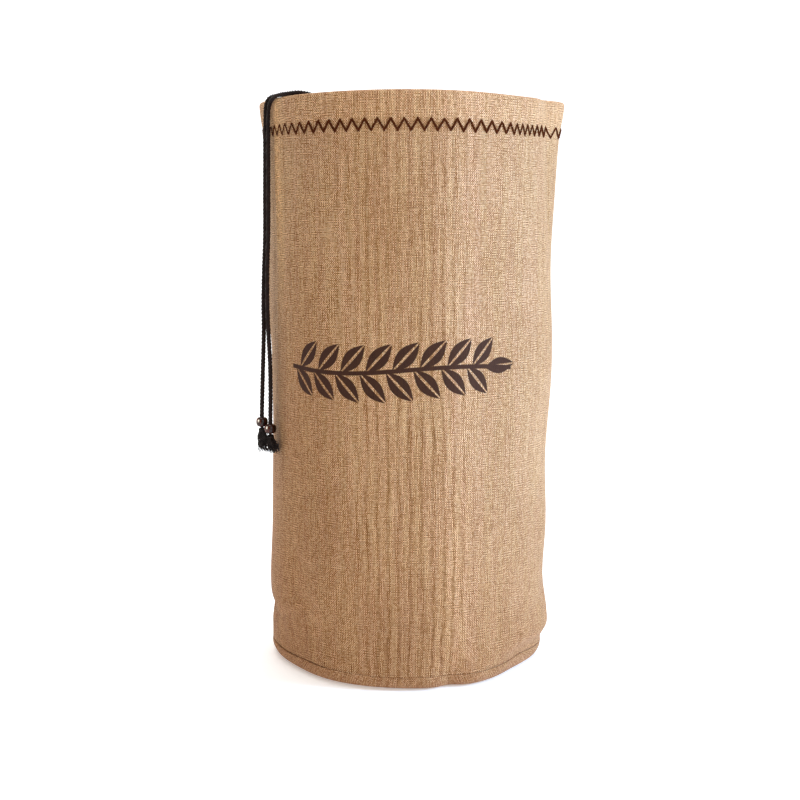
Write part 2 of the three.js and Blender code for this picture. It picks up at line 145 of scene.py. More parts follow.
# Places round the bag, here and below: angle, half width and amount.
BASE_TUCKS = ((-61, 21, 7), (16, 5.5, 6.5), (56, 21, 10))
FOOT_TUCKS = ((-70, 20, 1.1), (0, 40, -0.5))
RIM_RISES = ((-8, 34, 1.2), (52, 22, -1.6), (165, 40, -0.8))
SEAM_RISES = ((6, 34, -2.6), (170, 40, -1.2))

# Edge of the base, from under it round to the seam: inward of its reach, and height.
BASE_OUTER = (
    (16, 0), (9, 0.9), (5, 3.2), (2.4, 6.6), (0.7, 10.4), (0.05, 13.4), (0.1, 14.8),
    (0.5, 15.4), (1.2, 15.5), (10, 15.5),
)
# The same edge at the front, where it is drawn up against the wall, and where that
# begins on the left and ends on the right.
DRAWN_LEFT = (-46, -34)
DRAWN_RIGHT = 40
DRAWN_FADE = 12
BASE_DRAWN = (
    (16, 0), (9, 0.9), (5, 3.2), (2.4, 6.6), (0.7, 10.4), (0.05, 13.4), (0.0, 15.2),
    (0.02, 16.2), (0.15, 16.0), (0.4, 15.75), (0.8, 15.6), (1.3, 15.52), (10, 15.5),
)
BASE_INNER = (
    (10, 13.9), (2.6, 13.9), (1.7, 12.9), (2.3, 10.8), (3.9, 7.3), (6.2, 4.4), (9.6, 2.5), (16, 1.6),
)

# Turned-in foot of a panel: inward, and height above the base. Hem: inward, and drop
# from the rim.
FOOT_TURN = ((9, 0.2), (4, 0.05), (0.3, 0.06), (0.02, 0.35), (0, 1.2))
HEM = (
    (0, 6), (0.4, 3), (1.8, 1.2), (3.5, 0.8), (5.2, 1.3), (6.6, 3.6),
    (7, 8.5), (7, 19.5), (5.2, 23.5), (2.6, 27.5), (2, 31), (2, 42),
)
# Row where the hem's inner layer starts to close in, and the slit in that layer: angles,
# drops from the rim and least inward.
HEM_INNER = 7
SLIT_ANGLES = (-30.99, -23.41)
SLIT_DROPS = (8.5, 22.5)
SLIT_INWARD = 4.5

# Cloth turned in at a side seam, column by column: distance from the seam plane, and
# inward of the wall. Below and above the turned-in length it lies flat.
SEAM_TURN = ((3.4, 0.0), (2.4, 0.15), (1.7, 0.5), (1.2, 1.1), (0.98, 2.4), (0.95, 5.5), (0.95, 9.0))
SEAM_FLAT = ((3.6, 0.0), (2.9, 0.0), (2.3, 0.05), (1.7, 0.1), (1.1, 0.2), (0.6, 0.3), (0.15, 0.45))
# How far both turned-in edges are pressed to the front, and their length along the cloth.
SEAM_LEAN = (0.0, 0.0, 0.0, 0.0, 0.25, 1.0, 1.8)
SEAM_RUN = (0.8, 1.8, 2.7, 3.5, 4.9, 8.0, 11.5)
SEAM_FADE = 9

# Painted light and shade on the front cloth, paler where light falls and deeper where shade falls: place
# across and along it, half width, half height and gain of red, green and blue.
PAINTED_LIGHT_AND_SHADE = (
    (-162, 500, 9, 95, (1.34, 1.35, 1.20)),
    (-181, 475, 9, 70, (1.22, 1.21, 1.14)),
    (-165, 270, 13, 80, (0.78, 0.73, 0.66)),
    (-118, 350, 36, 140, (0.91, 0.84, 0.75)),
    (-86, 170, 16, 130, (0.92, 0.88, 0.84)),
    (52, 320, 22, 380, (1.09, 1.11, 1.21)),
    (118, 330, 48, 400, (1.0, 1.02, 1.08)),
    (40, 120, 17, 85, (1.10, 1.12, 1.12)),
    (-15, 50, 36, 50, (0.89, 0.87, 0.86)),
)

# Zigzag stitch that holds the hem: drops from the rim, length of two legs, thread.
STITCH_TOP = 26.4
STITCH_FOOT = 36.9
STITCH_PITCH = 12.4
STITCH_THREAD = 1.35
STITCH_TWIST = 4.5
# Where the legs crowd or spread along the hem, and where the thread is thinner.
STITCH_CROWD = ((48, 8, 0.75), (76, 16, -0.58))
STITCH_THIN = ((49, 10, 0.45), (78, 14, 0.2))

# Weave: distance between yarns and their wander, distance between the faint upright ribs, drawn mostly as
# painted shade stripes with a slight bump, and their sway.
WEAVE_PITCH = 1.15
YARN_WANDER = 3.0
RIB_PITCH = 10.4
RIB_SWAY = 9.0

# Printed sprig: its middle, half length and the swing of its stem, then its leaves.
SPRIG_MIDDLE = (-15, 311)
SPRIG_REACH = 122
SPRIG_SWING = 3.5
STEM_HALF = 2.1
LEAF_PAIRS = 8
LEAF_FIRST = -112
LEAF_SPACING = 26.0
LEAF_LEAN = 47
LEAF_LENGTH = 39
LEAF_HALF = 8.6

# Routes of the two free strands, from inside the hem, out of its slit, over the rim and down.
STRAND_RIGHT = (
    (-41.3, -136.8, 556.4), (-49.4, -134.1, 556.6), (-56.3, -131.3, 556.8), (-60.3, -128.1, 557.0),
    (-63.9, -124.2, 557.4), (-67.2, -120.2, 558.0), (-70.7, -116.5, 558.8), (-76.8, -111.8, 561.2),
    (-85.5, -105.5, 564.8), (-93.0, -99.7, 568.2), (-99.7, -94.6, 571.0), (-106.9, -89.7, 572.6),
    (-113.0, -85.2, 573.0), (-118.4, -80.4, 572.7), (-122.6, -76.0, 572.7), (-126.2, -71.7, 572.6),
    (-129.4, -67.5, 572.2), (-133.5, -62.3, 571.1), (-137.2, -58.2, 568.4), (-139.5, -55.8, 564.5),
    (-140.7, -54.6, 559.0), (-141.4, -54.1, 545), (-141.7, -54, 520), (-142, -54, 480),
    (-142.6, -54, 435), (-143.8, -54, 402), (-144.1, -54, 375), (-143.7, -54, 350),
    (-142.8, -54, 329), (-142, -54, 310), (-141.8, -54, 282), (-142.1, -54, 262),
    (-142.3, -54, 250), (-142.3, -54, 239.3),
)
STRAND_LEFT = (
    (-87.3, -113.4, 551.4), (-80.4, -118.3, 551.2), (-74.0, -122.2, 551.0), (-69.1, -123.5, 550.9),
    (-58.6, -124.4, 550.7), (-53.6, -124.8, 550.7), (-46.5, -126.0, 550.8), (-41.6, -127.0, 552.0),
    (-38.3, -127.6, 555.1), (-37.2, -127.6, 559.3), (-38.4, -126.9, 563.4), (-41.9, -125.2, 566.5),
    (-46.9, -122.8, 567.9), (-53.0, -119.9, 568.0), (-61.6, -115.7, 567.8), (-71.6, -110.0, 567.8),
    (-84.5, -100.7, 567.9), (-94.9, -91.6, 568.6), (-102.6, -84.6, 570.4), (-108.4, -80.2, 572.0),
    (-113.3, -76.4, 572.7), (-117.8, -72.8, 572.7), (-124.8, -65.2, 572.7), (-128.0, -61.2, 572.7),
    (-132.5, -54.9, 572.6), (-136.9, -49.8, 572.2), (-140.9, -45.7, 570.7), (-143.3, -43.9, 567.4),
    (-144.5, -43.2, 563.0), (-145.1, -44.2, 550), (-145.3, -45.4, 525), (-145.8, -46, 480),
    (-146.4, -46, 432), (-147.8, -46, 400), (-148.6, -46, 372), (-148.6, -46, 345),
    (-149.4, -46, 316), (-150.6, -46, 285), (-151.4, -46, 258), (-151.4, -46, 245.3),
)
# Middle of each bead, with the lean and length of the frayed end under it.
END_LEFT = (-151.4, -46, 250, 3, -2, 22)
END_RIGHT = (-142.3, -54, 244, 4, -7, 15)
# Outline of a bead, from one end of its bore over the outside to the other.
BEAD_OUTLINE = (
    (BEAD_BORE / 2, -4.2), (BEAD_BORE / 2 + 0.35, -4.55), (3.6, -4.62), (5.0, -3.6), (5.85, -1.2),
    (5.85, 1.2), (5.0, 3.6), (3.6, 4.62), (BEAD_BORE / 2 + 0.35, 4.55), (BEAD_BORE / 2, 4.2),
)
BEAD_INNER = ((BEAD_BORE / 2, 1.5), (BEAD_BORE / 2, -1.5))

# Pale stage, in metres: where its floor begins and ends, the sweep up to its wall, the
# top of the wall and half its width.
FLOOR_FRONT = -4.0
FLOOR_BACK = 2.2
SWEEP = 1.6
SWEEP_STEPS = 12
STAGE_TOP = 6.0
STAGE_HALF = 7.0

# Studio lights, in metres and watts: place, target, width, power and colour.
LIGHTS = {
    "key_right": ((1.75, -0.47, 0.95), (0, 0, 0.3), 0.7, 32, (0.64, 1.0, 1.47)),
    "front_fill": ((0.8, -2.2, 1.0), (0, 0, 0.3), 1.4, 10, (0.94, 1.0, 1.02)),
    "left_edge": ((-1.4, 1.4, 0.8), (0, 0, 0.3), 0.8, 6, (1.0, 0.95, 0.86)),
    "overhead": ((0, -0.3, 2.6), (0, -0.2, 0), 2.4, 32, (1.0, 1.0, 1.0)),
    "backdrop_wash": ((0, 1.0, 3.4), (0, 3.7, 1.2), 2.4, 70, (1.0, 1.0, 1.0)),
}
BEAD_GLINT = ((-1.08, -0.35, 0.45), (-0.147, -0.05, 0.247), 0.6, 32, (1.0, 0.93, 0.78))
WORLD_COLOUR = (1.0, 0.9, 0.78, 1.0)
WORLD_STRENGTH = 0.285

# Tan of the panels and of the base, as screen values.
WALL_TAN = (187, 141, 95)
BASE_TAN = (184, 137, 93)


class Wire:
    """A socket of a material being made: sums on wires add Math nodes."""

    def __init__(self, finish, socket):
        self.finish = finish
        self.socket = socket

    def also(self, name):
        return Wire(self.finish, self.socket.node.outputs[name])

    def math(self, operation, *others):
        sockets = dict(enumerate((self, *others)))
        return self.finish.add("ShaderNodeMath", {"operation": operation}, sockets)

    def __add__(self, other):
        return self.math("ADD", other)

    def __radd__(self, other):
        return self.math("ADD", other)

    def __sub__(self, other):
        return self.math("SUBTRACT", other)

    def __rsub__(self, other):
        return self.finish.add("ShaderNodeMath", {"operation": "SUBTRACT"}, {0: other, 1: self})

    def __mul__(self, other):
        return self.math("MULTIPLY", other)

    def __truediv__(self, other):
        return self.math("DIVIDE", other)

    def __abs__(self):
        return self.math("ABSOLUTE")

    def between(self, low, high):
        return self.finish.add(
            "ShaderNodeMapRange",
            {"interpolation_type": "SMOOTHSTEP"},
            {"Value": self, "From Min": low, "From Max": high},
        )


class Finish:
    """A material under construction. add() makes a node and gives its first output."""

    def __init__(self, name):
        self.material = bpy.data.materials.new(name)
        self.material.use_nodes = True
        self.tree = self.material.node_tree
        self.tree.nodes.clear()

    def add(self, kind, settings=None, sockets=None):
        node = self.tree.nodes.new(kind)
        for key, value in (settings or {}).items():
            if key == "stops":
                self.set_stops(node.color_ramp, value)
            else:
                setattr(node, key, value)
        for key, value in (sockets or {}).items():
            if isinstance(value, Wire):
                self.tree.links.new(value.socket, node.inputs[key])
            else:
                node.inputs[key].default_value = value
        return Wire(self, node.outputs[0]) if node.outputs else None

    def set_stops(self, ramp, stops):
        while len(ramp.elements) < len(stops):
            ramp.elements.new(1.0)
        for element, (place, colour) in zip(ramp.elements, stops):
            element.position = place
            element.color = colour

    def mix(self, share, first, second, blend="MIX"):
        """Mixes two colours; RGBA sockets of the Mix node are 6 and 7, its colour output is 2."""
        wire = self.add(
            "ShaderNodeMix", {"data_type": "RGBA", "blend_type": blend}, {0: share, 6: first, 7: second}
        )
        return Wire(self, wire.socket.node.outputs[2])

    def noise(self, vector, scale, detail=2.0, dimensions="3D"):
        return self.add(
            "ShaderNodeTexNoise",
            {"noise_dimensions": dimensions},
            {"Vector": vector, "Scale": scale, "Detail": detail},
        )

    def flat(self, first, second, third=0.0):
        return self.add("ShaderNodeCombineXYZ", None, {0: first, 1: second, 2: third})

    def close(self, colour, roughness, normal=None, **fixed):
        """Ends the material in one surface shader; fixed values go straight on its sockets."""
        sockets = {"Base Color": colour, "Roughness": roughness}
        if normal is not None:
            sockets["Normal"] = normal
        sockets.update({key.replace("_", " "): value for key, value in fixed.items()})
        surface = self.add("ShaderNodeBsdfPrincipled", None, sockets)
        self.add("ShaderNodeOutputMaterial", None, {"Surface": surface})
        return self.material


def shade(red, green, blue):
    """Screen values from 0 to 255 as a linear colour."""
    channels = [value / 255 for value in (red, green, blue)]
    linear = [c / 12.92 if c <= 0.04045 else ((c + 0.055) / 1.055) ** 2.4 for c in channels]
    return (*linear, 1.0)


def bell(offset, spread):
    """A soft hump of height one."""
    return np.exp(-((offset / spread) ** 2))


def turn(angle, other):
    """The shorter way round from one angle to another, in degrees."""
    return (angle - other + 180) % 360 - 180


def soft_step(value, low, high):
    """Goes smoothly from zero to one between two values."""
    t = np.clip((value - low) / (high - low), 0, 1)
    return t * t * (3 - 2 * t)


def humps(angle, table):
    """Sum of soft humps round the bag, from rows of angle, half width and amount."""
    return sum(amount * bell(turn(angle, place), wide) for place, wide, amount in table)


def run_along(line):
    """Length along a line at each of its points."""
    return np.concatenate([[0], np.cumsum(np.linalg.norm(np.diff(line, axis=0), axis=1))])


def ring_faces(number):
    """Four-sided faces between rows of points that close on themselves."""
    beside = np.roll(number, -1, axis=1)
    return np.stack([number[:-1], beside[:-1], beside[1:], number[1:]], axis=-1).reshape(-1, 4).tolist()


def section_at(z):
    """Columns of the section table at heights z, with smooth steps between its rows."""
    table = np.array(SECTIONS, dtype=float)
    levels = table[:, 0]
    k = np.clip(np.searchsorted(levels, z) - 1, 0, len(levels) - 2)
    before = np.maximum(k - 1, 0)
    after = np.minimum(k + 2, len(levels) - 1)
    span = levels[k + 1] - levels[k]
    t = np.clip((z - levels[k]) / span, 0, 1)[..., None]
    leave = (table[k + 1] - table[before]) / (levels[k + 1] - levels[before])[..., None] * span[..., None]
    arrive = (table[after] - table[k]) / (levels[after] - levels[k])[..., None] * span[..., None]
    rows = (2 * t**3 - 3 * t**2 + 1) * table[k] + (t**3 - 2 * t**2 + t) * leave
    rows += (3 * t**2 - 2 * t**3) * table[k + 1] + (t**3 - t**2) * arrive
    return {name: rows[..., i] for i, name in enumerate(SECTION_COLUMNS)}


def reach_of(row, angle):
    """Radius round the bag from the reaches to its left, right, front and back."""
    side = np.sin(np.radians(angle)) ** 2
    across = np.where(np.sin(np.radians(angle)) < 0, row["left"], row["right"])
    along = np.where(np.cos(np.radians(angle)) > 0, row["front"], row["back"])
    return along * (1 - side) + across * side


def base_reach(angle):
    """Radius of the base, tucked in at a few places."""
    return reach_of(dict(zip(BASE_COLUMNS, BASE_REACH)), angle) - humps(angle, BASE_TUCKS)


def crease_depth(angle, z):
    """Soft troughs and ridges along short lines on the unrolled wall."""
    scale = math.radians(1) * MEAN_REACH
    depth = np.zeros(np.broadcast(angle, z).shape)
    for a0, z0, a1, z1, wide, deep in CREASES:
        run = turn(a1, a0) * scale
        rise = z1 - z0
        length = math.hypot(run, rise)
        aside = turn(angle, a0) * scale
        up = z - z0
        t = np.clip((aside * run + up * rise) / length**2, -0.2, 1.2)
        away = np.hypot(aside - t * run, up - t * rise)
        fade = soft_step(t, -0.2, 0.25) * soft_step(1.2 - t, 0, 0.45)
        depth = depth + deep * bell(away, wide) * fade
    return depth


def slack(angle, z):
    """The slight unevenness of cloth that stands by itself."""
    a = np.radians(angle)
    wave = 0.35 * np.sin(5 * a + 0.021 * z + 0.7) * np.sin(0.013 * z + 2 * a)
    wave = wave + 0.22 * np.sin(11 * a - 0.034 * z + 1.9) * np.sin(0.027 * z - 3 * a + 0.4)
    low = bell(z - BASE_RISE, 28.0)
    pucker = 0.35 * low * np.sin(38 * a + 1.3 * np.sin(7 * a)) + 0.3 * low * np.sin(23 * a + 0.8)
    return wave + pucker


def wall_reach(angle, z):
    """Radius of the wall, with its flared corners, hollows, creases, hem and tucked foot."""
    row = section_at(z)
    left = np.abs(turn(angle, -90))
    right = np.abs(turn(angle, 90))
    reach = reach_of(row, angle)
    for flare, away, neck in ((row["ear_left"], left, NECK_LEFT), (row["ear_right"], right, NECK_RIGHT)):
        reach = reach + flare * (bell(away, EAR_SPREAD) - neck * bell(away - EAR_NECK, EAR_SPREAD))
    for place, level, wide, tall, depth in HOLLOWS:
        reach = reach - depth * bell(turn(angle, place), wide) * bell(z - level, tall)
    reach = reach - crease_depth(angle, z) + slack(angle, z)
    stitched = HEIGHT - 0.5 * (STITCH_TOP + STITCH_FOOT)
    drawn_in = 0.5 * bell(z - stitched, 6.0)
    puffed = 0.4 * bell(z - HEIGHT + 16, 9.0)
    reach = reach - drawn_in + puffed
    foot = soft_step(z, BASE_RISE, BASE_RISE + FOOT_BLEND)
    tucked = FOOT_INSET + humps(angle, FOOT_TUCKS)
    return (base_reach(angle) - tucked) * (1 - foot) + reach * foot


def rim_wave(angle, z):
    """The rim stands a little higher at the front than at its right and back."""
    return humps(angle, RIM_RISES) * soft_step(z, 440, HEIGHT)


def seam_wave(angle):
    """The seam round the base runs a little uneven, lowest at the front."""
    a = np.radians(angle)
    wave = 0.5 * np.sin(7 * a + 1.0) + 0.35 * np.sin(13 * a + 0.4)
    return wave + humps(angle, SEAM_RISES)


def wall_point(angle, z):
    """Points on the outside of the wall."""
    reach = wall_reach(angle, z)
    a = np.radians(angle)
    lift = rim_wave(angle, z) + seam_wave(angle) * (1 - soft_step(z, BASE_RISE + 2, BASE_RISE + 45))
    return np.stack([reach * np.sin(a), -reach * np.cos(a), z + lift], axis=-1)


def layer_point(angle, z, inward):
    """Points inside the wall, measured inward from the middle of its outer layer."""
    ahead = wall_point(angle + 0.5, z)
    behind = wall_point(angle - 0.5, z)
    step = ahead - behind
    outward = np.stack([step[..., 1], -step[..., 0], np.zeros_like(step[..., 0])], axis=-1)
    outward /= np.linalg.norm(outward, axis=-1, keepdims=True)
    return wall_point(angle, z) - outward * (CLOTH / 2 + inward)[..., None]


def smooth_line(points, step):
    """A curve through the points, sampled about every step."""
    points = np.array(points, dtype=float)
    padded = np.vstack([2 * points[0] - points[1], points, 2 * points[-1] - points[-2]])
    gaps = np.linalg.norm(np.diff(padded, axis=0), axis=1)
    knots = np.concatenate([[0], np.cumsum(gaps**0.5)])
    line = []
    for k in range(1, len(padded) - 2):
        count = max(2, int(math.ceil(np.linalg.norm(padded[k + 1] - padded[k]) / step)))
        t0, t1, t2, t3 = knots[k - 1 : k + 3]
        p0, p1, p2, p3 = padded[k - 1 : k + 3]
        for t in np.linspace(t1, t2, count, endpoint=False):
            a1 = (t1 - t) / (t1 - t0) * p0 + (t - t0) / (t1 - t0) * p1
            a2 = (t2 - t) / (t2 - t1) * p1 + (t - t1) / (t2 - t1) * p2
            a3 = (t3 - t) / (t3 - t2) * p2 + (t - t2) / (t3 - t2) * p3
            b1 = (t2 - t) / (t2 - t0) * a1 + (t - t0) / (t2 - t0) * a2
            b2 = (t3 - t) / (t3 - t1) * a2 + (t - t1) / (t3 - t1) * a3
            line.append((t2 - t) / (t2 - t1) * b1 + (t - t1) / (t2 - t1) * b2)
    line.append(points[-1])
    return np.array(line)


def even_points(line, count):
    """The same line with a number of points at even spacing."""
    run = run_along(line)
    places = np.linspace(0, run[-1], count)
    return np.stack([np.interp(places, run, line[:, i]) for i in range(line.shape[1])], axis=1)


def even_line(line, step):
    """The same line with points at about an even step."""
    return even_points(line, max(2, int(round(run_along(line)[-1] / step)) + 1))


def new_piece(name, points, faces, material, flat, sharp=50):
    """A mesh piece that rides on the bag. Points and flat places are in millimetres."""
    mesh = bpy.data.meshes.new(name)
    mesh.from_pydata((np.asarray(points) * MM).tolist(), [], [list(map(int, f)) for f in faces])
    layer = mesh.uv_layers.new(name="cloth")
    corners = np.empty(len(mesh.loops), dtype=np.int32)
    mesh.loops.foreach_get("vertex_index", corners)
    layer.data.foreach_set("uv", (np.asarray(flat) * MM)[corners].astype(np.float32).ravel())
    mesh.polygons.foreach_set("use_smooth", [True] * len(mesh.polygons))
    mesh.set_sharp_from_angle(angle=math.radians(sharp))
    mesh.validate()
    mesh.materials.append(material)
    piece = bpy.data.objects.new(name, mesh)
    bpy.context.scene.collection.objects.link(piece)
    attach(piece, "root")
    return piece


def panel_profile():
    """Rows of a panel: inward, height and length along the cloth."""
    foot_z = BASE_RISE + GAP + CLOTH / 2
    foot = smooth_line([(inward, foot_z + rise) for inward, rise in FOOT_TURN], EDGE_STEP)
    hem = smooth_line([(inward, HEIGHT - drop) for inward, drop in HEM], EDGE_STEP)
    wall = np.linspace(foot[-1][1], hem[0][1], WALL_ROWS)[1:-1]
    rows = np.vstack([foot, np.stack([np.zeros_like(wall), wall], axis=1), hem])
    run = run_along(rows)
    first_wall = len(foot)
    length = run - run[first_wall] + rows[first_wall, 1]
    return rows[:, 0], rows[:, 1], length


def seam_edge(angle, inward, z, facing):
    """Columns at a side seam, from the wall to the edge of the turned-in cloth."""
    seam = layer_point(np.full_like(z, angle), z, inward)
    inside = -np.sign(seam[:, 0])
    turned = soft_step(z, ALLOWANCE_LOW, ALLOWANCE_LOW + SEAM_FADE)
    turned = turned * soft_step(ALLOWANCE_HIGH - z, 0, SEAM_FADE)
    turned = np.where(inward > 0.01, 0.0, turned)
    columns = []
    for (aside_turn, in_turn), (aside_flat, in_flat), lean in zip(SEAM_TURN, SEAM_FLAT, SEAM_LEAN):
        aside = aside_turn * turned + aside_flat * (1 - turned)
        deep = in_turn * turned + in_flat * (1 - turned)
        column = seam.copy()
        column[:, 0] += inside * deep
        column[:, 1] = facing * aside - lean * turned
        columns.append(column)
    return columns


def panel_grid(middle):
    """Points of a panel in rows, their flat places, and the cells that are its slit."""
    facing = -1 if middle == 0 else 1
    inward, z, length = panel_profile()
    u = np.linspace(-1, 1, PANEL_COLUMNS)
    angles = middle + (90 - SEAM_MARGIN) * (1.12 * u - 0.12 * u**3)
    first = seam_edge(middle - 90, inward, z, facing)[::-1]
    last = seam_edge(middle + 90, inward, z, facing)
    grid_angle, grid_z = np.meshgrid(angles, z)
    _, grid_in = np.meshgrid(angles, inward)
    run = layer_point(grid_angle, grid_z, grid_in)
    grid = np.concatenate([np.stack(first, axis=1), run, np.stack(last, axis=1)], axis=1)
    across = np.radians(angles - middle) * MEAN_REACH
    side = np.array(SEAM_RUN)
    across = np.concatenate([across[0] - side[::-1], across, across[-1] + side])
    flat = np.stack(np.meshgrid(across, length), axis=-1)
    slit = np.zeros((len(z) - 1, grid.shape[1] - 1), dtype=bool)
    if middle == 0:
        mid_z = 0.5 * (z[1:] + z[:-1])
        on_hem = (0.5 * (inward[1:] + inward[:-1]) > SLIT_INWARD) & (mid_z < HEIGHT - SLIT_DROPS[0])
        on_hem &= mid_z > HEIGHT - SLIT_DROPS[1]
        mid_a = np.full(grid.shape[1] - 1, np.inf)
        mid_a[len(first) : len(first) + len(angles) - 1] = 0.5 * (angles[1:] + angles[:-1])
        slit |= on_hem[:, None] & ((mid_a > SLIT_ANGLES[0]) & (mid_a < SLIT_ANGLES[1]))[None, :]
    return grid, flat, slit


def thick_cloth(grid, flat, slit):
    """Points, faces and flat places of a sheet with the thickness of the cloth."""
    across = np.gradient(grid, axis=1)
    along = np.gradient(grid, axis=0)
    normal = np.cross(across, along)
    normal /= np.linalg.norm(normal, axis=-1, keepdims=True)
    rows, columns = grid.shape[:2]
    points = np.concatenate([(grid + side * normal * CLOTH / 2).reshape(-1, 3) for side in (1, -1)])
    number = np.arange(rows * columns).reshape(rows, columns)
    a, b = number[:-1, :-1], number[:-1, 1:]
    c, d = number[1:, 1:], number[1:, :-1]
    kept = ~slit
    front = np.stack([a, b, c, d], axis=-1)[kept]
    back = front[:, ::-1] + rows * columns
    ring = np.pad(kept, 1)
    edges = []
    for start, stop, near in (
        (a, b, ring[:-2, 1:-1]),
        (b, c, ring[1:-1, 2:]),
        (c, d, ring[2:, 1:-1]),
        (d, a, ring[1:-1, :-2]),
    ):
        open_side = kept & ~near
        s, e = start[open_side], stop[open_side]
        edges.append(np.stack([e, s, s + rows * columns, e + rows * columns], axis=-1))
    faces = np.concatenate([front, back, *edges])
    return points, faces, np.concatenate([flat.reshape(-1, 2)] * 2)


def drop_loose(points, faces, flat):
    """Leaves out points that no face uses."""
    used = np.unique(faces)
    place = np.full(len(points), -1)
    place[used] = np.arange(len(used))
    return points[used], place[faces], flat[used]


def make_panel(name, middle, material):
    """One half of the wall with its part of the hem."""
    points, faces, flat = drop_loose(*thick_cloth(*panel_grid(middle)))
    panel = new_piece(name, points, faces, material, flat)
    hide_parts(name)
    return panel


def make_base(material):
    """The round base: a shallow dish whose edge turns up to the seam and then in."""
    edge = BASE_REACH[2]
    count = BASE_SECTORS
    angles = turn(np.arange(count) * 360 / count, 0)
    drawn = soft_step(angles, *DRAWN_LEFT) * soft_step(DRAWN_RIGHT - angles, 0, DRAWN_FADE)
    drawn = drawn[:, None]
    plain = even_points(smooth_line(BASE_OUTER, 0.2), BASE_EDGE_ROWS)[:, None, :]
    lipped = even_points(smooth_line(BASE_DRAWN, 0.2), BASE_EDGE_ROWS)[:, None, :]
    outer = plain * (1 - drawn) + lipped * drawn
    inner = np.repeat(smooth_line(BASE_INNER, 0.8)[:, None, :], count, axis=1)
    middle = np.repeat(np.linspace(edge - 2, 14, 24)[:-1, None], count, axis=1)
    under = np.stack([middle, 0 * middle], axis=-1)
    over = np.stack([middle[::-1], 0 * middle + CLOTH], axis=-1)
    profile = np.concatenate([under, outer, inner, over])
    reach = edge - profile[..., 0]
    level = profile[..., 1]
    run = run_along(np.stack([reach[:, 0], level[:, 0]], axis=1)) + 2
    half = len(under) + len(outer)
    flat_reach = np.concatenate([run[:half], run[half - 1] - (run[half:] - run[half - 1])])
    a = np.radians(angles)
    radius = reach * base_reach(angles) / edge
    height = level + seam_wave(angles) * soft_step(level, 1.6, 12.0)
    points = np.stack([radius * np.sin(a), -radius * np.cos(a), height], axis=-1)
    flat = np.stack([flat_reach[:, None] * np.sin(a), -flat_reach[:, None] * np.cos(a)], axis=-1)
    rows = len(reach)
    points = np.concatenate([points.reshape(-1, 3), [[0, 0, 0], [0, 0, CLOTH]]])
    flat = np.concatenate([flat.reshape(-1, 2), [[0, 0], [0, 0]]])
    number = np.arange(rows * count).reshape(rows, count)
    beside = np.roll(number, -1, axis=1)
    faces = ring_faces(number)
    faces += [[rows * count, beside[0, k], number[0, k]] for k in range(count)]
    faces += [[rows * count + 1, number[-1, k], beside[-1, k]] for k in range(count)]
    base = new_piece("base", points, faces, material, flat)
    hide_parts("base")
    return base


def frames_along(line):
    """Two directions across a line that turn as little as they can."""
    ahead = np.gradient(line, axis=0)
    ahead /= np.linalg.norm(ahead, axis=1, keepdims=True)
    start = np.cross(ahead[0], (0.3, 0.8, 0.52))
    first = [start / np.linalg.norm(start)]
    for k in range(1, len(line)):
        carried = first[-1] - ahead[k] * np.dot(first[-1], ahead[k])
        first.append(carried / np.linalg.norm(carried))
    first = np.array(first)
    return first, np.cross(ahead, first)


def tube(line, radius, sides):
    """Points, faces and flat places of a round capped tube; radius may change along it."""
    first, second = frames_along(line)
    radius = np.broadcast_to(radius, len(line))
    a = np.arange(sides) * 2 * np.pi / sides
    ring = np.cos(a)[None, :, None] * first[:, None, :] + np.sin(a)[None, :, None] * second[:, None, :]
    points = line[:, None, :] + radius[:, None, None] * ring
    flat = np.stack(np.meshgrid(a * np.mean(radius), run_along(line)), axis=-1)
    number = np.arange(len(line) * sides).reshape(len(line), sides)
    faces = ring_faces(number)
    faces += [number[0, ::-1].tolist(), number[-1].tolist()]
    return points.reshape(-1, 3), faces, flat.reshape(-1, 2)


def joined(parts):
    """Several sets of points, faces and flat places as one."""
    points, faces, flat = [], [], []
    count = 0
    for part_points, part_faces, part_flat in parts:
        points.append(part_points)
        flat.append(part_flat)
        faces += [[i + count for i in face] for face in part_faces]
        count += len(part_points)
    return np.concatenate(points), faces, np.concatenate(flat)


def plies(line, diameter, pitch, count=3, sides=6, phase=0.0):
    """The twisted yarns of a cord along a line."""
    first, second = frames_along(line)
    run = run_along(line)
    ply = np.broadcast_to(diameter * 0.27, len(line))
    out = (np.broadcast_to(diameter / 2, len(line)) - ply)[:, None]
    parts = []
    for k in range(count):
        a = (2 * np.pi * (run / pitch + k / count) + phase)[:, None]
        parts.append(tube(line + out * (np.cos(a) * first + np.sin(a) * second), ply, sides))
    return parts


def make_strand(name, route, material):
    """A free end of the drawstring: twisted plies of cord along its route."""
    line = even_line(smooth_line(route, 1.5), 1.1)
    hanging = soft_step(HEIGHT - 20 - line[:, 2], 0, 30) * soft_step(-line[:, 0], 138, 141)
    points, faces, flat = joined(plies(line, CORD + CORD_SLACK + CORD_SWELL * hanging, CORD_TWIST))
    strand = new_piece(name, points, faces, material, flat, sharp=80)
    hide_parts(name)


def make_bead(name, end, material):
    """A turned bead with a bore, slightly wider than tall."""
    outline = np.vstack([smooth_line(BEAD_OUTLINE, 0.35), BEAD_INNER])
    count = BEAD_SECTORS
    a = np.arange(count) * 2 * np.pi / count
    x = end[0] + outline[:, :1] * np.cos(a)
    y = end[1] + outline[:, :1] * np.sin(a)
    z = end[2] + outline[:, 1:] + 0 * x
    rows = len(outline)
    number = np.arange(rows * count).reshape(rows, count)
    beside = np.roll(number, -1, axis=1)
    above = np.roll(number, -1, axis=0)
    faces = np.stack([number, beside, np.roll(beside, -1, axis=0), above], axis=-1).reshape(-1, 4)
    up = outline[:, 1] + 0.3 * outline[:, 0]
    flat = np.stack(np.meshgrid(a * BEAD_WIDEST, up), axis=-1).reshape(-1, 2)
    bead = new_piece(name, np.stack([x, y, z], axis=-1).reshape(-1, 3), faces, material, flat)
    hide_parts(name)
    return bead


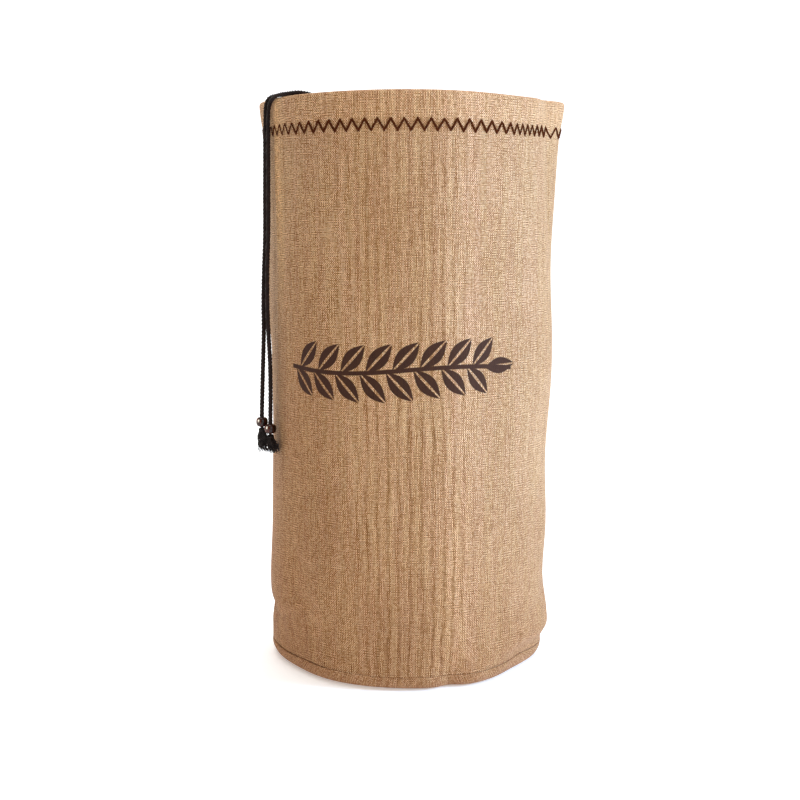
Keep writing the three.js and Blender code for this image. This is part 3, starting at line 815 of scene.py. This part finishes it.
def make_tuft(name, end, seed, material):
    """The frayed cord end: a small knot with loose crimped yarns below it."""
    chance = np.random.default_rng(seed)
    x, y, z, lean_x, lean_y, length = end
    top = z - BEAD_HALF - GAP
    a = np.linspace(0, 2 * np.pi * 1.6, 40)
    coil = np.stack([x + 2.2 * np.cos(a), y + 2.2 * np.sin(a), top - 1.9 - 0.3 * a], axis=1)
    parts = plies(even_line(coil, 0.6), 3.1, 6.0, sides=5)
    core = np.array([(x, y, top - 0.4), (x, y, top - 3), (x + 0.2, y, top - 6)])
    parts += plies(even_line(core, 0.6), 3.2, 7.0, sides=5)
    for _ in range(TUFT_YARNS):
        share = math.sqrt(chance.random())
        a = chance.random() * 2 * math.pi
        aside = np.array([math.cos(a), math.sin(a), 0.0])
        reach = length * (0.5 + 0.54 * chance.random())
        root = np.array([x, y, top - 3.6]) + 2.3 * share * aside
        drift = np.array([lean_x, lean_y, 0.0]) + chance.normal(0, 0.6, 3) * (1, 1, 0)
        tip = root + drift + aside * 4.3 * share + (0, 0, -reach)
        belly = root + 0.3 * drift + aside * 3.0 * share + (0, 0, -0.4 * reach)
        line = smooth_line([root, belly, tip], 1.1)
        run = np.linspace(0, 1, len(line))[:, None]
        crimp = np.sin(run * (9 + 5 * chance.random()) + 6 * chance.random())
        line = line + 0.9 * run * crimp * chance.normal(0, 1, 3) * (1, 1, 0.3)
        thick = np.linspace(0.5, 0.3, len(line)) * (0.75 + 0.5 * chance.random())
        parts.append(tube(line, thick, 4))
    points, faces, flat = joined(parts)
    tuft = new_piece(name, points, faces, material, flat, sharp=80)
    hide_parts(name)
    return tuft


def stitch_places(drop):
    """Angles round the bag along the stitch line, closer where the cloth turns away at the right."""
    angles = np.linspace(-90, 270, 1441)
    ring = wall_point(angles, np.full_like(angles, HEIGHT - drop))
    middle = 0.5 * (angles[1:] + angles[:-1])
    legs = np.diff(run_along(ring)) * (1 + humps(middle, STITCH_CROWD))
    run = np.concatenate([[0], np.cumsum(legs)])
    count = 2 * int(round(run[-1] / STITCH_PITCH))
    return np.interp(np.linspace(0, run[-1], count + 1), run, angles)


def hem_inward(drop):
    """How far the inner layer of the hem stands behind the outer one."""
    inner = np.array(HEM[HEM_INNER:], dtype=float)
    return np.interp(drop, inner[:, 1], inner[:, 0])


def make_hem_stitch(name, inside, material):
    """The zigzag stitch: one thread leg after another, each dipping into the cloth at its ends."""
    places = stitch_places(0.5 * (STITCH_TOP + STITCH_FOOT))
    chance = np.random.default_rng(11)
    parts = []
    for k in range(len(places) - 1):
        ends = (STITCH_TOP, STITCH_FOOT) if k % 2 == 0 else (STITCH_FOOT, STITCH_TOP)
        t = np.linspace(-0.05, 1.05, 13)
        jitter = chance.normal(0, 0.25, 2)
        angle = places[k] + (places[k + 1] - places[k]) * t
        drop = (ends[0] + jitter[0]) * (1 - t) + (ends[1] + jitter[1]) * t
        lift = 0.85 * np.clip(1 - np.abs(2 * t - 1) ** 6, -0.9, 1) - 0.1 + CLOTH / 2
        inward = hem_inward(drop) + lift if inside else -lift
        line = layer_point(angle, HEIGHT - drop, inward)
        halfway = angle[len(t) // 2]
        thin = 0.52 * (1 - soft_step(abs(turn(halfway, -74)), 12, 38)) + humps(halfway, STITCH_THIN)
        thread = STITCH_THREAD * (1 - thin)
        parts += plies(line, 2 * thread, STITCH_TWIST, count=2, sides=5, phase=k)
    points, faces, flat = joined(parts)
    return new_piece(name, points, faces, material, flat, sharp=80)


def weave(finish, left_sign, ribs_and_shade):
    """Height and tone of a plain weave of uneven yarns, from the flat places of the cloth; the tone holds
    faint upright ribs as painted shade stripes.
    """
    flat = finish.add("ShaderNodeUVMap", {"uv_map": "cloth"})
    part = finish.add("ShaderNodeSeparateXYZ", None, {0: flat})
    across = part.also("X")
    along = part.also("Y")
    wander = finish.noise(flat, 14.0, 1.0, "2D") - 0.5
    waver = finish.noise(finish.flat(along, across), 17.0, 1.0, "2D") - 0.5
    a = (across + wander * (YARN_WANDER * MM)) / (WEAVE_PITCH * MM)
    b = (along + waver * (YARN_WANDER * MM)) / (WEAVE_PITCH * MM)
    wave_a = (a * math.pi).math("SINE")
    wave_b = (b * math.pi).math("SINE")
    over = wave_a * wave_b * 0.42
    upright = abs(wave_a) * (over + 0.58)
    level = abs(wave_b) * (0.58 - over)
    height = upright.math("MAXIMUM", level)
    on_top = (upright - level).between(-0.12, 0.12)
    yarn_a = a.math("FLOOR")
    yarn_b = b.math("FLOOR")
    cell = finish.add(
        "ShaderNodeTexWhiteNoise", {"noise_dimensions": "2D"}, {"Vector": finish.flat(yarn_a, yarn_b)}
    )
    warp = finish.noise(finish.flat(yarn_a * 3.71, along * 60.0), 1.0, 1.0, "2D") - 0.5
    weft = finish.noise(finish.flat(across * 80.0, yarn_b * 5.13), 1.0, 1.0, "2D") - 0.5
    swayed = (across + wander * (YARN_WANDER * MM)) * 300.0
    streak = finish.noise(finish.flat(swayed, along * 11.0), 1.0, 2.0, "2D")
    cloud = finish.noise(flat, 8.0, 3.0, "2D")
    sway = finish.noise(finish.flat(across * 24.0, along * 20.0), 1.0, 2.0, "2D") - 0.5
    patch = finish.noise(finish.flat(along * 21.0, across * 30.0), 1.0, 1.0, "2D")
    turn_of_rib = (across + sway * (RIB_SWAY * MM)) * (2 * math.pi / (RIB_PITCH * MM))
    upper = along.between(0.25, 0.42)
    beside = abs(across + 1 * MM + upper * (15 * MM)) - upper * (16 * MM)
    # Ribs: mostly painted shade stripes in the tone, near the middle of the cloth, with a slight bump.
    rib_relief_and_shade = turn_of_rib.math("SINE") + (turn_of_rib * 2 + 1.3).math("SINE") * (0.5 - upper * 0.3)
    rib_relief_and_shade = rib_relief_and_shade * (1 - beside.between(0.034, 0.074)) * (patch * 2.2 - 0.2 - upper * 0.2)
    fleck_a = finish.noise(finish.flat(across * 150.0, along * 70.0), 1.0, 1.0, "2D") - 0.5
    fleck_b = finish.noise(finish.flat(along * 90.0, across * 100.0), 1.0, 1.0, "2D") - 0.5
    sides = abs(across + 5 * MM).between(0.04, 0.11)
    left = (across * left_sign).between(0.04, 0.12)
    tones = (on_top - 0.5) * 0.5 + wave_a * fleck_a * 0.95 + wave_b * fleck_b * (0.8 + sides * 0.3)
    tones = tones + warp * on_top * 0.4 + weft * (1 - on_top) * 0.4 + (cell - 0.5) * 0.4
    tones = (tones + (streak - 0.5) * 0.26) * (1 + left * 0.55) + rib_relief_and_shade * ribs_and_shade + (cloud - 0.5) * 0.2
    return across, along, height, tones, streak


def leaf(across, along, foot, lean, length, wide):
    """Ink share of one printed leaf with a bare middle vein."""
    c, s = math.cos(math.radians(lean)), math.sin(math.radians(lean))
    x = across - foot[0]
    y = along - foot[1]
    p = (x * c + y * s) / length
    q = abs(y * c - x * s)
    body = (p.math("MAXIMUM", 0.0).math("MINIMUM", 1.0) * math.pi).math("SINE") * wide
    inside = (body - q).between(-0.00025, 0.00035)
    vein = (q - body * 0.1).between(0.0001, 0.0007)
    return inside * vein


def printed_sprig(across, along):
    """Ink share of the sprig of leaves printed on the front."""
    middle = (SPRIG_MIDDLE[0] * MM, SPRIG_MIDDLE[1] * MM)
    reach = SPRIG_REACH * MM
    x = across - middle[0]
    y = along - middle[1]
    bend = (x * (math.pi / reach)).math("SINE") * (SPRIG_SWING * MM)
    ends = 1 - abs(x).between(reach - 1 * MM, reach)
    ink = (STEM_HALF * MM - abs(y - bend)).between(-0.0003, 0.0003) * ends
    for k in range(LEAF_PAIRS):
        place = (LEAF_FIRST + LEAF_SPACING * k) * MM
        stem = math.sin(place * math.pi / reach) * SPRIG_SWING * MM
        size = (LEAF_LENGTH - 0.6 * abs(k - (LEAF_PAIRS - 1) / 2)) * MM
        for side in (1, -1):
            start = (middle[0] + place + side * 3 * MM, middle[1] + stem)
            ink = ink.math("MAXIMUM", leaf(across, along, start, LEAF_LEAN * side, size, LEAF_HALF * MM))
    tip = (middle[0] + 88 * MM, middle[1] + 1.5 * MM)
    return ink.math("MAXIMUM", leaf(across, along, tip, 4, 38 * MM, 7.8 * MM))


def tan_cloth(name, base_tone, left_sign=-1.0, ribs_and_shade=0.05, printed=False):
    """Coarse tan cloth with uneven yarns and painted shade, with painted light and shade places and the
    sprig where it is printed.
    """
    finish = Finish(name)
    across, along, height, tones, streak = weave(finish, left_sign, ribs_and_shade)
    red, green, blue = base_tone
    colour = finish.add(
        "ShaderNodeValToRGB",
        {
            "stops": (
                (0.0, shade(red * 0.58, green * 0.47, blue * 0.35)),
                (0.3, shade(red * 0.84, green * 0.78, blue * 0.70)),
                (0.52, shade(red, green, blue)),
                (0.78, shade(red * 1.13 + 6, green * 1.18 + 8, blue * 1.27 + 10)),
                (1.0, shade(min(255, red * 1.20 + 16), green * 1.32 + 20, blue * 1.46 + 24)),
            )
        },
        {"Fac": tones + 0.5},
    )
    blush = finish.noise(finish.flat(across * 120.0, along * 9.0), 1.0, 1.0, "2D").between(0.36, 0.64)
    colour = finish.mix(blush * 0.8, colour, (1.0, 0.965, 1.02, 1.0), "MULTIPLY")
    # Painted shade: the cloth is darker towards the foot.
    low = 1 - along.between(0.0, 0.26)
    colour = finish.mix(low, colour, (0.86, 0.79, 0.72, 1.0), "MULTIPLY")
    # Painted shade: the lower left of the cloth is darker.
    shaded = (across * left_sign).between(0.05, 0.14) * (1 - along.between(0.2, 0.38))
    colour = finish.mix(shaded, colour, (0.88, 0.79, 0.69, 1.0), "MULTIPLY")
    # Painted shade in the gaps between the yarns.
    gap_shade = 1 - height.between(0.12, 0.6)
    colour = finish.mix(gap_shade * 0.5, colour, shade(red * 0.50, green * 0.43, blue * 0.36))
    rough = 0.8 - height * 0.15
    # Painted light: a paler band along the hem.
    hem = along.between(0.526, 0.542)
    colour = finish.mix(hem, colour, (1.10, 1.09, 1.09, 1.0), "MULTIPLY")
    if printed:
        # Painted light and shade: each place lightens or darkens the cloth's colour.
        for x, z, wide, tall, gain in PAINTED_LIGHT_AND_SHADE:
            aside = (across - x * MM) / (wide * MM)
            up = (along - z * MM) / (tall * MM)
            share = (0 - aside * aside - up * up).math("EXPONENT")
            colour = finish.mix(share, colour, (*gain, 1.0), "MULTIPLY")
        ink = printed_sprig(across, along)
        cover = ink * (0.87 + tones * 0.22 + height * 0.14).math("MINIMUM", 1.0)
        colour = finish.mix(cover, colour, shade(54, 30, 23))
    bumps = height * 0.35 + tones * 0.15 + streak * 0.7
    normal = finish.add("ShaderNodeBump", None, {"Height": bumps, "Strength": 0.6, "Distance": 0.5 * MM})
    return finish.close(
        colour,
        rough,
        normal,
        Specular_IOR_Level=0.12,
        Sheen_Weight=0.04,
        Sheen_Roughness=0.5,
    )


def yarn(name, dark, light, gloss, shine=0.25):
    """Twisted dark yarn with fine fibres along it."""
    finish = Finish(name)
    flat = finish.add("ShaderNodeUVMap", {"uv_map": "cloth"})
    part = finish.add("ShaderNodeSeparateXYZ", None, {0: flat})
    across = part.also("X")
    along = part.also("Y")
    fibre = finish.noise(finish.flat(across * 6500.0 + along * 2600.0, along * 700.0), 1.0, 2.0, "2D")
    patch = finish.noise(flat, 300.0, 2.0, "2D")
    share = (fibre * 0.75 + patch * 0.45).between(0.38, 0.85)
    colour = finish.mix(share, shade(*dark), shade(*light))
    normal = finish.add("ShaderNodeBump", None, {"Height": fibre, "Strength": 0.6, "Distance": 0.2 * MM})
    return finish.close(colour, gloss + share * 0.1, normal, Specular_IOR_Level=shine)


def varnished_bead():
    """Dark amber wood under a clear gloss."""
    finish = Finish("varnished_bead")
    place = finish.add("ShaderNodeTexCoord").also("Object")
    part = finish.add("ShaderNodeSeparateXYZ", None, {0: place})
    spread = finish.flat(part.also("X") * 900.0, part.also("Y") * 900.0, part.also("Z") * 120.0)
    rings = finish.noise(spread, 1.0, 3.0)
    colour = finish.add(
        "ShaderNodeValToRGB",
        {"stops": ((0.3, shade(9, 3, 2)), (0.52, shade(32, 11, 6)), (0.75, shade(88, 34, 14)))},
        {"Fac": rings},
    )
    normal = finish.add("ShaderNodeBump", None, {"Height": rings, "Strength": 0.12, "Distance": 0.1 * MM})
    return finish.close(
        colour,
        rings * 0.1 + 0.22,
        normal,
        Specular_IOR_Level=0.15,
        Coat_Weight=0.4,
        Coat_Roughness=0.05,
    )


def pale_floor():
    """Nearly white matt paper that glows a little."""
    finish = Finish("pale_floor")
    place = finish.add("ShaderNodeTexCoord").also("Object")
    speck = finish.noise(place, 2.0, 2.0)
    colour = finish.mix(speck * 0.08, shade(248, 248, 248), shade(242, 242, 242))
    return finish.close(
        colour, speck * 0.05 + 0.9, Emission_Color=(1.0, 1.0, 1.0, 1.0), Emission_Strength=0.32
    )


def make_stage():
    """A pale floor that curves up into a pale wall far behind."""
    profile = [(FLOOR_FRONT, 0.0), (FLOOR_BACK, 0.0)]
    for k in range(1, SWEEP_STEPS + 1):
        a = math.radians(90 * k / SWEEP_STEPS)
        profile.append((FLOOR_BACK + SWEEP * math.sin(a), SWEEP - SWEEP * math.cos(a)))
    profile.append((FLOOR_BACK + SWEEP, STAGE_TOP))
    points = [(x, y, z) for y, z in profile for x in (-STAGE_HALF, STAGE_HALF)]
    faces = [(2 * k, 2 * k + 1, 2 * k + 3, 2 * k + 2) for k in range(len(profile) - 1)]
    mesh = bpy.data.meshes.new("floor")
    mesh.from_pydata(points, [], faces)
    mesh.polygons.foreach_set("use_smooth", [True] * len(mesh.polygons))
    mesh.materials.append(pale_floor())
    floor = bpy.data.objects.new("floor", mesh)
    bpy.context.scene.collection.objects.link(floor)


def area_light(name, place, target, size, power, colour):
    """A round light that points at its target and isn't seen itself."""
    data = bpy.data.lights.new(name, "AREA")
    data.shape = "DISK"
    data.size = size
    data.energy = power
    data.color = colour
    light = bpy.data.objects.new(name, data)
    light.location = place
    toward = np.array(target) - np.array(place)
    yaw = math.atan2(toward[1], toward[0]) - math.pi / 2
    tilt = math.atan2(math.hypot(toward[0], toward[1]), -toward[2])
    light.rotation_euler = (tilt, 0, yaw)
    light.visible_camera = False
    bpy.context.scene.collection.objects.link(light)
    return light


def make_light(beads):
    """Soft studio lights, and a small one from the left that only the beads catch."""
    world = bpy.data.worlds.new("studio")
    bpy.context.scene.world = world
    world.use_nodes = True
    background = world.node_tree.nodes["Background"]
    background.inputs["Color"].default_value = WORLD_COLOUR
    background.inputs["Strength"].default_value = WORLD_STRENGTH
    for name, settings in LIGHTS.items():
        area_light(name, *settings)
    glint = area_light("bead_glint", *BEAD_GLINT)
    caught = bpy.data.collections.new("beads")
    for bead in beads:
        caught.objects.link(bead)
    glint.light_linking.receiver_collection = caught


def set_picture():
    """Plain colours, and a clean-up that keeps the fine grain of the weave."""
    scene = bpy.context.scene
    scene.view_settings.view_transform = "Standard"
    scene.cycles.denoising_prefilter = "NONE"


def make_camera():
    """The view that the photo has."""
    data = bpy.data.cameras.new("photo_view")
    data.sensor_width = SENSOR
    data.lens = SENSOR * FOCAL / FRAME_WIDTH
    camera = bpy.data.objects.new("photo_view", data)
    camera.location = [value * MM for value in EYE]
    camera.rotation_euler = (math.radians(90 - PITCH), 0, 0)
    bpy.context.scene.collection.objects.link(camera)
    bpy.context.scene.camera = camera


make_camera()

cord_yarn = yarn("dark_cord_yarn", (10, 4, 3), (46, 26, 20), 0.6)
loose_yarn = yarn("loose_dark_yarn", (7, 4, 4), (52, 38, 34), 0.4)
bead_wood = varnished_bead()
beads = []
for side, route, end, seed in (("left", STRAND_LEFT, END_LEFT, 3), ("right", STRAND_RIGHT, END_RIGHT, 5)):
    bead = make_bead("bead_" + side, end, bead_wood)
    tuft = make_tuft("tuft_" + side, end, seed, loose_yarn)
    make_strand("strand_" + side, route, cord_yarn)
    beads.append(bead)
hidden_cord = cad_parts["drawstring_in_hem"].data
hidden_cord.materials.clear()
hidden_cord.materials.append(cord_yarn)

front_cloth = tan_cloth("tan_cloth_printed", WALL_TAN, ribs_and_shade=0.105, printed=True)
plain_cloth = tan_cloth("tan_cloth_plain", WALL_TAN, left_sign=1.0)
base_cloth = tan_cloth("tan_cloth_base", BASE_TAN)
stitch_thread = yarn("brown_stitch_thread", (60, 23, 4), (106, 50, 16), 0.7, shine=0.08)

panel_front = make_panel("panel_front", 0, front_cloth)
panel_back = make_panel("panel_back", 180, plain_cloth)
base = make_base(base_cloth)
stitch = make_hem_stitch("hem_stitch", False, stitch_thread)
stitch_inside = make_hem_stitch("hem_stitch_inside", True, stitch_thread)

make_stage()
make_light(beads)
set_picture()
